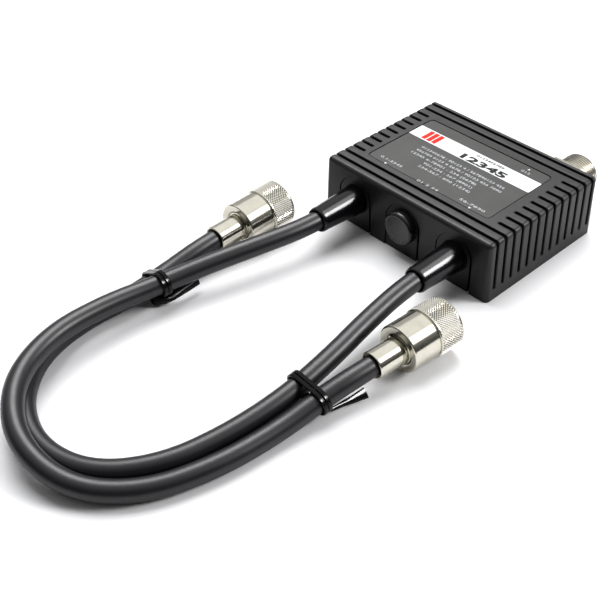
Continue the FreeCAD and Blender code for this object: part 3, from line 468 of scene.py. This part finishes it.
for side, sign in (("left", -1), ("right", 1)):
    boot = bevelled(turned(side + "_boot", BOOT_PROFILE), 0.1)
    put(boot, sign * PORT_PITCH, FRONT_Y, PORT_HEIGHT, 180)
    dress(boot, BOOT, "rubber_trim", side + "_cable_boot")


# Plugs: made once on the Y axis from the rear of the ferrule, and copied

BODY_PROFILE = [
    (0.3, 2.5), (4.05, 2.5), (4.05, 0.5), (4.3, 0.1), (4.6, 0.0), (4.85, 0.25), (4.9, 0.7),
    (4.9, 11.9), (5.4, 12.0), (5.4, 13.3), (7.4, 13.3), (7.4, 15.8), (5.9, 15.8), (5.9, 24.2),
    (5.5, 24.6), (4.65, 24.6), (4.65, 15.8), (0.3, 15.8),
]
INSULATOR_PROFILE = [(1.65, 15.8), (4.6, 15.8), (4.6, 24.0), (1.65, 24.0), (1.65, 15.8)]
PIN_PROFILE = [
    (1.6, 15.8), (1.6, 24.05), (1.98, 24.1), (1.98, 31.2), (1.7, 31.8), (1.2, 32.2), (0.5, 32.4),
]
SKIRT_PROFILE = [
    (8.4, 22.95), (8.4, 22.6), (8.65, 22.5), (8.65, 12.2), (8.5, 11.8), (8.2, 11.6), (6.3, 11.6),
    (5.9, 11.75), (5.5, 12.2), (5.5, 13.2), (8.0, 13.2), (8.0, 32.7), (8.4, 33.2), (8.7, 33.2),
    (9.0, 32.9), (9.0, 32.55), (8.7, 32.5), (8.7, 23.6), (9.0, 23.55), (9.0, 23.2), (8.75, 22.95),
    (8.4, 22.95),
]
KNURL_COUNT = 56
KNURL_ROWS = 18
KNURL_START = 23.45
KNURL_END = 32.65
KNURL_DEPTH = 0.38
KNURL_RADIUS = 9.25
KNURL_BORE = 8.6


def make_knurl():
    """A ring whose every second vertex stands out, so that its faces are small diamonds."""
    step = (KNURL_END - KNURL_START) / KNURL_ROWS
    low = KNURL_RADIUS - KNURL_DEPTH
    profile = [(low, KNURL_START + row * step) for row in range(KNURL_ROWS + 1)]
    closed = [(KNURL_BORE, KNURL_START)] + profile
    closed += [(KNURL_BORE, KNURL_END), (KNURL_BORE, KNURL_START)]
    ring = turned("knurl", closed, sides=2 * KNURL_COUNT)
    edit()
    bpy.ops.mesh.select_all(action="DESELECT")
    mesh = bmesh.from_edit_mesh(ring.data)
    for vertex in mesh.verts:
        row = (vertex.co.y / MM - KNURL_START) / step
        column = math.atan2(vertex.co.z, vertex.co.x) / math.pi * KNURL_COUNT
        outside = math.hypot(vertex.co.x, vertex.co.z) > (low - 0.05) * MM
        between_rims = 0.5 < row < KNURL_ROWS - 0.5
        every_second = (round(row) + round(column)) % 2 == 0
        vertex.select_set(outside and between_rims and every_second)
    mesh.select_flush_mode()
    bmesh.update_edit_mesh(ring.data)
    ratio = KNURL_RADIUS / low
    bpy.ops.transform.resize(value=(ratio, 1, ratio), center_override=(0, 0, 0))
    bpy.ops.mesh.select_all(action="SELECT")
    bpy.ops.mesh.quads_convert_to_tris(quad_method="SHORTEST_DIAGONAL")
    leave()
    return ring


# Each piece, the width of its rounded edges, its finish, slot and CAD node, and what it moves with

plug_pieces = [
    (turned("plug_barrel", BODY_PROFILE), 0.08, NICKEL, "nickel", "plug_body", "housing"),
    (turned("plug_core", INSULATOR_PROFILE), 0.08, INSULATOR, "insulator", "plug_insulator",
     "housing"),
    (turned("plug_tip", PIN_PROFILE, 40), 0.03, PIN_METAL, "contact", "plug_pin", "housing"),
    (turned("plug_skirt", SKIRT_PROFILE, 96), 0.08, NICKEL, "nickel", "coupling_nut", "ring"),
    (make_knurl(), 0, KNURL_PAINTED_GLINT, "nickel", "coupling_nut", "ring"),
]
for piece, width, material, slot, node, body in plug_pieces:
    if width:
        bevelled(piece, width)
    twin = copied(piece, "right_" + piece.name)
    piece.name = "left_" + piece.name
    for made, side, (x, y, turn) in ((piece, "left", LEFT_PLUG), (twin, "right", RIGHT_PLUG)):
        put(made, x, y, AXIS_HEIGHT, turn)
        moves_with = side + "_ring" if body == "ring" else "housing"
        dress(made, material, slot, side + "_" + node, body=moves_with)


# Socket on the rear wall

SHELL_PROFILE = [
    (5.2, -7.6), (6.2, -7.6), (6.2, -4.2), (9.0, -4.2), (9.0, -2.2), (7.3, -2.2), (7.3, 4.1),
    (7.3, 14.6), (7.05, 15.3), (6.9, 15.6), (6.35, 15.6), (6.25, 15.4), (6.25, 9.6), (5.2, 9.6),
    (5.2, -7.6),
]
THREAD_PITCH = 25.4 / 24
THREAD_TURNS = 10
THREAD_START = 4.7
TOOTH_MIDDLE = 7.35
TOOTH = [(7.2, 0.52), (7.45, 0.38), (7.92, 0.1)]


def make_thread():
    """One tooth, shaped by pairs of radius and half width, and wound round the Y axis."""
    begin()
    bpy.ops.mesh.primitive_circle_add(vertices=2 * len(TOOTH), radius=0.5 * MM,
                                      location=(TOOTH_MIDDLE * MM, THREAD_START * MM, 0))
    tooth = bpy.context.object
    tooth.name = "socket_thread"
    settle(tooth)
    edit()
    bpy.ops.mesh.select_all(action="DESELECT")
    mesh = bmesh.from_edit_mesh(tooth.data)
    ordered = sorted(mesh.verts, key=lambda vertex: vertex.co.x)
    for index, vertex in enumerate(ordered):
        radius, half = TOOTH[index // 2]
        side = 1 if vertex.co.y > THREAD_START * MM else -1
        vertex.co = (radius * MM, (THREAD_START + side * half) * MM, 0)
    bmesh.update_edit_mesh(tooth.data)
    leave()
    only(tooth)
    bpy.ops.object.modifier_add(type="SCREW")
    screw = tooth.modifiers[-1]
    screw.axis = "Y"
    screw.screw_offset = THREAD_PITCH * MM
    screw.iterations = THREAD_TURNS - 1
    screw.steps = 64
    screw.render_steps = 64
    bpy.ops.object.modifier_apply(modifier=screw.name)
    edit()
    bpy.ops.mesh.fill_holes(sides=0)
    bpy.ops.mesh.normals_make_consistent(inside=False)
    leave()
    bpy.ops.object.shade_smooth_by_angle(angle=math.radians(35))
    return tooth


socket_shell = bevelled(turned("socket_body", SHELL_PROFILE, 96), 0.06)
put(socket_shell, SOCKET_X, REAR_Y, PORT_HEIGHT)
dress(socket_shell, THREAD_METAL, "nickel", "socket_shell")
thread = put(make_thread(), SOCKET_X, REAR_Y, PORT_HEIGHT)
dress(thread, THREAD_METAL, "nickel", "socket_shell")
for node, name, width, material, slot in (
        ("socket_nut", "socket_hexagon", 0.25, NICKEL, "nickel"),
        ("socket_washer", "socket_lock_washer", 0.1, NICKEL_WORN, "nickel"),
        ("socket_insulator", "socket_core", 0.1, INSULATOR, "insulator"),
        ("socket_contact", "socket_centre", 0.08, CONTACT_METAL, "contact")):
    dress(bevelled(from_cad(node, name), width), material, slot, node)


# Label print: a stripe, bars, ticks and plain numbers

STRIPE_Y = (4.1, 12.0)
PLATE_X = (-29.9, 28.6)
INK = 0.012
RED_BARS_X = (-24.2, -21.7, -19.2)
RED_BAR_WIDTH = 2.0
RED_BAR_Y = (4.8, 11.3)
ARROW_SIZE = 0.65
SMALL_HEIGHT = 1.25
LETTER_SHARE = 0.7


def ink_box(x0, x1, y0, y1, low=PLATE_TOP):
    """A flat block of ink between two places in x and in y."""
    begin()
    middle = ((x0 + x1) / 2 * MM, (y0 + y1) / 2 * MM, low * MM)
    bpy.ops.mesh.primitive_cube_add(size=1, location=middle)
    mark = bpy.context.object
    mark.scale = ((x1 - x0) * MM, (y1 - y0) * MM, 2 * INK * MM)
    settle(mark)
    return mark


def ink_words(words, x, y, height, width, low=PLATE_TOP, weight=0.0):
    """Plain numbers from x on, stretched to a width."""
    begin()
    bpy.ops.object.text_add(location=(0, 0, 0))
    text = bpy.context.object
    text.data.body = words
    text.data.size = height * MM / LETTER_SHARE
    text.data.extrude = INK * MM
    text.data.offset = weight * MM
    text.data.resolution_u = 2
    bpy.ops.object.convert(target="MESH")
    mark = bpy.context.object
    settle(mark)
    xs = [vertex.co.x for vertex in mark.data.vertices]
    stretch = width * MM / (max(xs) - min(xs))
    mark.scale = (stretch, 1, 1)
    mark.location = ((x * MM) - min(xs) * stretch, y * MM, low * MM)
    settle(mark)
    return mark


def ink_arrow(x, y, size, turn):
    """A small flat triangle."""
    begin()
    bpy.ops.mesh.primitive_cone_add(vertices=3, radius1=size * MM, radius2=size * MM,
                                    depth=2 * INK * MM, location=(x * MM, y * MM, PLATE_TOP * MM),
                                    rotation=(0, 0, math.radians(turn)))
    mark = bpy.context.object
    settle(mark)
    return mark


def joined(name, marks):
    """Several meshes as one piece."""
    begin()
    for mark in marks:
        mark.select_set(True)
    bpy.context.view_layer.objects.active = marks[0]
    bpy.ops.object.join()
    piece = bpy.context.object
    piece.name = name
    return piece


white_marks = [ink_box(*PLATE_X, *STRIPE_Y)]
for x, y, turn in ((-21.1, -18.5, 180), (19.8, -18.3, 180), (19.5, 16.4, 0)):
    white_marks.append(ink_arrow(x, y, ARROW_SIZE, turn))
dress(joined("label_white_print", white_marks), WHITE_INK, "label")

small_marks = []
for words, x, y, width in (
        ("012345678 : 90123 4 / 567890123 456", -19.2, -0.6, 40.2),
        ("456789 0123 4 5678 / 90123 456 7890", -19.6, -3.3, 41.2),
        ("12345 6-78901 : 234 (5678)", -19.6, -6.0, 31.7),
        ("901-234 : 567 (8901)", -11.1, -8.7, 23.6),
        ("234-567 : 890 (1234)", -11.3, -11.4, 25.0),
        ("0.1-2345", -25.7, -16.6, 10.8), ("01 2 34", -5.1, -19.0, 10.1),
        ("56-7890", 13.8, -17.0, 11.5), ("012", 17.7, 13.6, 3.9)):
    small_marks.append(ink_words(words, x, y, SMALL_HEIGHT, width))
dress(joined("label_small_print", small_marks), GREY_INK, "label")

red_marks = [ink_box(x, x + RED_BAR_WIDTH, *RED_BAR_Y, PLATE_TOP + INK) for x in RED_BARS_X]
dress(joined("label_red_print", red_marks), RED_INK, "label")

black_marks = [ink_words("12345", -4.6, 4.8, 3.3, 21.2, PLATE_TOP + INK, 0.22),
               ink_words("0123456789", -0.4, 9.7, 1.2, 13.1, PLATE_TOP + INK, 0.05)]
dress(joined("label_black_print", black_marks), BLACK_INK, "label")


# Ties: two bands side by side round both cables, and a twisted end

BAND_WIDTH = 1.55
BAND_THICKNESS = 0.75
BAND_GAP = 0.12
BAND_PLAY = 0.3
LEFT_TIE_Y = -113.0
RIGHT_TIE_Y = -110.0

# Stations along the end of each tie: place, half width, half thickness and turn in degrees

LEFT_TAIL = [
    ((-39.6, -116.8, 2.4), 1.7, 1.5, 30), ((-37.9, -113.9, 2.6), 2.3, 1.7, 10),
    ((-36.9, -111.0, 3.1), 2.2, 1.4, -15), ((-36.6, -107.4, 3.4), 1.8, 0.7, -45),
    ((-36.3, -103.5, 3.6), 1.6, 0.6, -60), ((-36.3, -98.9, 3.9), 1.5, 0.5, -55),
]
RIGHT_TAIL = [
    ((41.2, -107.6, 2.2), 0.6, 0.5, -50), ((42.0, -103.4, 2.4), 0.9, 0.4, -50),
    ((43.2, -98.6, 2.7), 1.4, 0.35, -50), ((44.1, -94.5, 3.0), 1.9, 0.3, -50),
]


def crossing(line, side, y):
    """Where a cord crosses a given y on one side of the middle, and its direction there."""
    for before, after in zip(line, line[1:]):
        low, high = sorted((before.y, after.y))
        if low <= y * MM <= high and (before.x > 0) == (side > 0):
            share = (y * MM - before.y) / (after.y - before.y)
            way = (after - before).normalized()
            return before.lerp(after, share), way if way.y > 0 else -way
    raise RuntimeError("no crossing")


def make_band(name, first, second, way, shift):
    """A belt round two cables, square to their way."""
    across = second - first
    gap = across.length
    across.normalize()
    inner = (CABLE_RADIUS + BAND_PLAY) * MM
    begin()
    bpy.ops.mesh.primitive_circle_add(vertices=48, radius=inner, rotation=(math.pi / 2, 0, 0))
    band = bpy.context.object
    band.name = name
    settle(band)
    edit()
    bpy.ops.mesh.select_all(action="DESELECT")
    mesh = bmesh.from_edit_mesh(band.data)
    for vertex in mesh.verts:
        vertex.select_set(vertex.co.x > 0.00001)
    bmesh.update_edit_mesh(band.data)
    bpy.ops.transform.translate(value=(gap, 0, 0))
    bpy.ops.mesh.select_all(action="SELECT")
    bpy.ops.mesh.extrude_region_move(TRANSFORM_OT_translate={"value": (0, BAND_WIDTH * MM, 0)})
    bpy.ops.mesh.select_all(action="SELECT")
    bpy.ops.mesh.normals_make_consistent(inside=False)
    leave()
    bpy.ops.object.modifier_add(type="SOLIDIFY")
    wall = band.modifiers[-1]
    wall.thickness = BAND_THICKNESS * MM
    wall.offset = 1
    bpy.ops.object.modifier_apply(modifier=wall.name)
    bevelled(band, 0.34, segments=4, angle=50)
    up = across.cross(way).normalized()
    way = up.cross(across).normalized()
    band.matrix_world = Matrix.Translation(first + way * shift * MM) @ Matrix(
        (across, way, up)).transposed().to_4x4()
    settle(band)
    return band


def make_twist(name, stations):
    """A strip with rounded edges through the stations of a tail."""
    begin()
    place, width, thickness, turn = stations[0]
    bpy.ops.mesh.primitive_circle_add(vertices=8, radius=1, rotation=(math.pi / 2, 0, 0))
    strip = bpy.context.object
    strip.name = name
    settle(strip)
    edit()
    bpy.ops.transform.resize(value=(width * MM, 1, thickness * MM), center_override=(0, 0, 0))
    bpy.ops.transform.rotate(value=math.radians(turn), orient_axis="Y", center_override=(0, 0, 0))
    bpy.ops.transform.translate(value=[c * MM for c in place])
    for next_place, next_width, next_thickness, next_turn in stations[1:]:
        step = [(b - a) * MM for a, b in zip(place, next_place)]
        bpy.ops.mesh.extrude_region_move(TRANSFORM_OT_translate={"value": step})
        middle = [c * MM for c in next_place]
        bpy.ops.transform.rotate(value=math.radians(-turn), orient_axis="Y", center_override=middle)
        bpy.ops.transform.resize(value=(next_width / width, 1, next_thickness / thickness),
                                 center_override=middle)
        bpy.ops.transform.rotate(value=math.radians(next_turn), orient_axis="Y", center_override=middle)
        place, width, thickness, turn = next_place, next_width, next_thickness, next_turn
    bpy.ops.mesh.select_all(action="SELECT")
    bpy.ops.mesh.fill_holes(sides=0)
    bpy.ops.mesh.normals_make_consistent(inside=False)
    leave()
    bpy.ops.object.shade_smooth_by_angle(angle=math.radians(SMOOTH_ANGLE))
    return strip


def make_tie(side, sign, y, tail):
    """Two bands where the cords cross y on one side, joined with their tail."""
    first, way_a = crossing(left_line, sign, y)
    second, way_b = crossing(right_line, sign, y)
    way = (way_a + way_b).normalized()
    middle = (first + second) / 2
    first = first - way * (first - middle).dot(way)
    second = second - way * (second - middle).dot(way)
    pieces = [make_band("band", first, second, way, shift)
              for shift in (-BAND_WIDTH - BAND_GAP / 2, BAND_GAP / 2)]
    pieces.append(make_twist("tail", tail))
    tie = joined(side + "_tie", pieces)
    dress(tie, TIE, "tie_plastic", side + "_cable_tie")


make_tie("left", -1, LEFT_TIE_Y, LEFT_TAIL)
make_tie("right", 1, RIGHT_TIE_Y, RIGHT_TAIL)


# Inside, and what else stays as the CAD has it

for part in frame["record"]["subparts"]:
    mesh = frame["nodes"][part["node"]].data
    mesh.materials.clear()
    mesh.materials.append(SLOTS[part["material_slot"]])


# Floor, light and picture

FLOOR_SIZE = 2.6
FLOOR_PLACE = (0, 0, -0.0001)
FADE_FROM = 0.34
FADE_TO = 0.75
BRIGHT_SIDE = (-0.42, 0.50, 0.76)
HEIGHT_STOPS = ((0.48, 0.50), (0.58, 1.0))
FACING_STOPS = ((0.0, 0.17), (0.45, 0.60), (0.85, 1.0))
BACKDROP = 1.7
AMBIENT = 0.6
AMBIENT_MIRRORED = 1.15


def fade_out(material, near, far):
    """Far away the camera sees the backdrop through the floor; all other rays still meet the floor."""
    tree = material.node_tree
    where = tree.nodes.new("ShaderNodeTexCoord")
    distance = tree.nodes.new("ShaderNodeVectorMath")
    distance.operation = "LENGTH"
    fade = tree.nodes.new("ShaderNodeMapRange")
    fade.inputs["From Min"].default_value = near
    fade.inputs["From Max"].default_value = far
    path = tree.nodes.new("ShaderNodeLightPath")
    seen = tree.nodes.new("ShaderNodeMath")
    seen.operation = "MULTIPLY"
    clear = tree.nodes.new("ShaderNodeBsdfTransparent")
    mix = tree.nodes.new("ShaderNodeMixShader")
    tree.links.new(where.outputs["Object"], distance.inputs[0])
    tree.links.new(distance.outputs["Value"], fade.inputs["Value"])
    tree.links.new(fade.outputs["Result"], seen.inputs[0])
    tree.links.new(path.outputs["Is Camera Ray"], seen.inputs[1])
    tree.links.new(seen.outputs["Value"], mix.inputs["Fac"])
    tree.links.new(tree.nodes["Principled BSDF"].outputs["BSDF"], mix.inputs[1])
    tree.links.new(clear.outputs["BSDF"], mix.inputs[2])
    tree.links.new(mix.outputs["Shader"], tree.nodes["Material Output"].inputs["Surface"])


def make_floor():
    """A white sheet just under the object."""
    fade_out(FLOOR, FADE_FROM, FADE_TO)
    begin()
    bpy.ops.mesh.primitive_plane_add(size=FLOOR_SIZE, location=FLOOR_PLACE)
    floor = bpy.context.object
    floor.name = "floor"
    floor.data.materials.append(FLOOR)


def make_light(name, place, target, size, power, seen):
    """A round lamp; seen says whether it lights, is mirrored, or both."""
    begin()
    bpy.ops.object.light_add(type="AREA", location=place)
    light = bpy.context.object
    light.name = name
    light.data.shape = "DISK"
    light.data.size = size
    light.data.energy = power
    light.visible_glossy = seen != "diffuse"
    light.visible_diffuse = seen != "mirrored"
    light.rotation_euler = (Vector(place) - Vector(target)).to_track_quat("Z", "Y").to_euler()
    return light


def fall_only_on(light, wanted):
    """The light reaches no other piece than those of the wanted materials."""
    reached = bpy.data.collections.new(light.name)
    for piece in bpy.data.objects:
        if piece.type in ("MESH", "CURVE") and set(piece.data.materials) & set(wanted):
            reached.objects.link(piece)
    light.light_linking.receiver_collection = reached


def new_ramp(tree, source, stops):
    """A ramp through pairs of place and grey value."""
    ramp = tree.nodes.new("ShaderNodeValToRGB")
    ramp.color_ramp.elements.remove(ramp.color_ramp.elements[1])
    for index, (place, value) in enumerate(stops):
        stop = ramp.color_ramp.elements[0] if index == 0 else ramp.color_ramp.elements.new(place)
        stop.position = place
        stop.color = (*grey(value), 1)
    tree.links.new(source, ramp.inputs["Fac"])
    return ramp.outputs["Color"]


def make_world():
    """A studio that is bright overhead and behind, and dark at the horizon and round the camera."""
    world = bpy.data.worlds.new("studio")
    bpy.context.scene.world = world
    world.use_nodes = True
    tree = world.node_tree
    where = tree.nodes.new("ShaderNodeTexCoord")
    height = tree.nodes.new("ShaderNodeSeparateXYZ")
    facing = tree.nodes.new("ShaderNodeVectorMath")
    facing.operation = "DOT_PRODUCT"
    facing.inputs[1].default_value = Vector(BRIGHT_SIDE).normalized()
    both = tree.nodes.new("ShaderNodeVectorMath")
    both.operation = "MULTIPLY"
    tree.links.new(where.outputs["Generated"], height.inputs["Vector"])
    tree.links.new(where.outputs["Generated"], facing.inputs[0])
    tree.links.new(new_ramp(tree, height.outputs["Z"], HEIGHT_STOPS), both.inputs[0])
    tree.links.new(new_ramp(tree, facing.outputs["Value"], FACING_STOPS), both.inputs[1])
    path = tree.nodes.new("ShaderNodeLightPath")
    seen = tree.nodes.new("ShaderNodeMixRGB")
    seen.inputs["Color2"].default_value = (*grey(BACKDROP), 1)
    tree.links.new(path.outputs["Is Camera Ray"], seen.inputs["Fac"])
    tree.links.new(both.outputs["Vector"], seen.inputs["Color1"])
    tree.links.new(seen.outputs["Color"], tree.nodes["Background"].inputs["Color"])
    strength = tree.nodes.new("ShaderNodeMapRange")
    strength.inputs["To Min"].default_value = AMBIENT
    strength.inputs["To Max"].default_value = AMBIENT_MIRRORED
    tree.links.new(path.outputs["Is Glossy Ray"], strength.inputs["Value"])
    tree.links.new(strength.outputs["Result"], tree.nodes["Background"].inputs["Strength"])


SATIN = [HOUSING, BASE, CAP, PLATE, JACKET]
INKS = [WHITE_INK, GREY_INK, BLACK_INK, RED_INK]
BOX = (0, -0.05, 0)
TIES = (0, -0.08, 0)

# Each lamp's place, target, size and power, how it is seen, and the finishes that it falls on

LAMPS = {
    "window": ((-0.45, 0.24, 1.05), BOX, 1.1, 18, "diffuse", None),
    "sheen": ((-0.50, 0.38, 1.05), BOX, 0.8, 12, "mirrored", SATIN),
    "side": ((0.76, 0.62, 0.72), BOX, 0.44, 10, "both", SATIN + INKS + [FLOOR, TIE, KNURL_PAINTED_GLINT]),
    "glint": ((0.70, 0.57, 0.86), BOX, 0.62, 2.0, "both", [NICKEL, NICKEL_WORN]),
    "boot_streak": ((0.68, 0.62, 0.76), BOX, 0.5, 15, "both", [BOOT]),
    "boot_glow": ((0.26, 0.56, 0.80), BOX, 0.7, 5, "mirrored", [BOOT]),
    "tie_glint": ((0.79, -0.05, 0.80), TIES, 0.44, 30, "mirrored", [TIE]),
    "thread_glint": ((0.74, 0.60, 0.76), BOX, 0.55, 14, "both", [THREAD_METAL]),
}

make_floor()
make_world()
for name, (place, target, size, power, seen, wanted) in LAMPS.items():
    lamp = make_light(name, place, target, size, power, seen)
    if wanted:
        fall_only_on(lamp, wanted)
bpy.context.scene.view_settings.view_transform = "Standard"
bpy.context.scene.view_settings.look = "Medium High Contrast"
